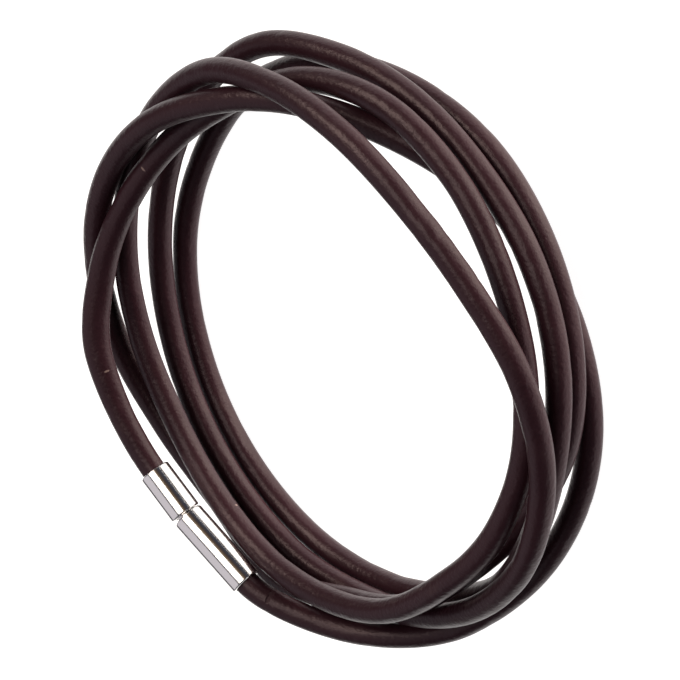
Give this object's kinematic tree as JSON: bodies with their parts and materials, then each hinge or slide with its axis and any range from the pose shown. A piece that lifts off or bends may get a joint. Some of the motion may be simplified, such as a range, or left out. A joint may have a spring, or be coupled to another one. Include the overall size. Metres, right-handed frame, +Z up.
{
  "type": "leather wrap bracelet",
  "caption": "Wrap bracelet of one long round leather cord, wound loosely round the wrist and fastened by a steel tube clasp that holds both of its ends.",
  "frame": {"origin": "on the surface that the bracelet lies on, below the middle of its bounding box", "axes": "+Z up, along the axis of the loop that the wrist goes through; +X and +Y across the loop, the clasp on the +Y side, about 20 degrees round towards -X"},
  "size_m": [0.0732, 0.069, 0.0193],
  "materials": {
    "leather": "smooth, semi-gloss, dark reddish brown, with fine creases",
    "clasp_steel": "polished stainless steel"
  },
  "bodies": {
    "root": {"leather_cord": "leather", "clasp_cap": "clasp_steel", "clasp_barrel": "clasp_steel"}
  },
  "joints": []
}
